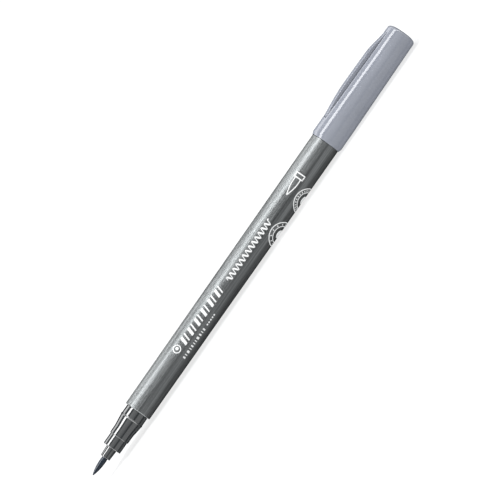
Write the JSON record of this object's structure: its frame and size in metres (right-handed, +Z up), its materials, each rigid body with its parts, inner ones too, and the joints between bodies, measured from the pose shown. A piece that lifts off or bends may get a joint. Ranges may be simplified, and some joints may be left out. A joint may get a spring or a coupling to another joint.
{
  "type": "pigment brush pen",
  "caption": "Slim round brush pen with a flexible pointed nib, stepped grip section, tapered barrel and a clip cap posted on the tail.",
  "frame": {"origin": "under the middle of the pen as it lies on its side, with its cap posted: bottom centre of its box", "axes": "+X along the pen from the brush to the cap's closed end; +Z up, out of the middle of the clip"},
  "size_m": [0.173, 0.0108, 0.0118],
  "materials": {
    "brush_fibre": "ink-soaked felt, slightly wet",
    "grip_plastic": "polished dark grey moulding",
    "barrel_lacquer": "dark metallic grey lacquer on a plastic tube, with fine lengthways brushing",
    "reservoir_fibre": "bonded fibre rod",
    "wrap_film": "thin clear film",
    "plug_plastic": "moulded",
    "cap_plastic": "silver-grey satin moulding",
    "liner_plastic": "natural soft moulding"
  },
  "bodies": {
    "pen_body": {"barrel": "barrel_lacquer", "grip_section": "grip_plastic", "brush_holder": "grip_plastic", "brush_root": "brush_fibre", "ink_reservoir": "reservoir_fibre", "reservoir_wrap": "wrap_film", "tail_plug": "plug_plastic"},
    "brush_middle": {"brush_belly": "brush_fibre"},
    "brush_tip": {"brush_point": "brush_fibre"},
    "cap": {"cap_shell": "cap_plastic", "inner_cap": "liner_plastic"},
    "clip": {"pocket_clip": "cap_plastic"}
  },
  "joints": [
    {"name": "brush_bend", "type": "hinge", "parent": "pen_body", "child": "brush_middle", "pos_m": [-0.0806, 0, 0.00544], "axis": [0, 1, 0], "range_deg": [-18, 18], "stiffness_Nm_per_rad": 0.006},
    {"name": "brush_tip_bend", "type": "hinge", "parent": "brush_middle", "child": "brush_tip", "pos_m": [-0.0835, 0, 0.00544], "axis": [0, 1, 0], "range_deg": [-18, 18], "stiffness_Nm_per_rad": 0.0025},
    {"name": "cap_slide", "type": "slide", "parent": "pen_body", "child": "cap", "axis": [1, 0, 0], "range_m": [0, 0.035]},
    {"name": "clip_flex", "type": "hinge", "parent": "cap", "child": "clip", "pos_m": [0.0831, 0, 0.01015], "axis": [0, 1, 0], "range_deg": [0, 4], "stiffness_Nm_per_rad": 0.5}
  ]
}
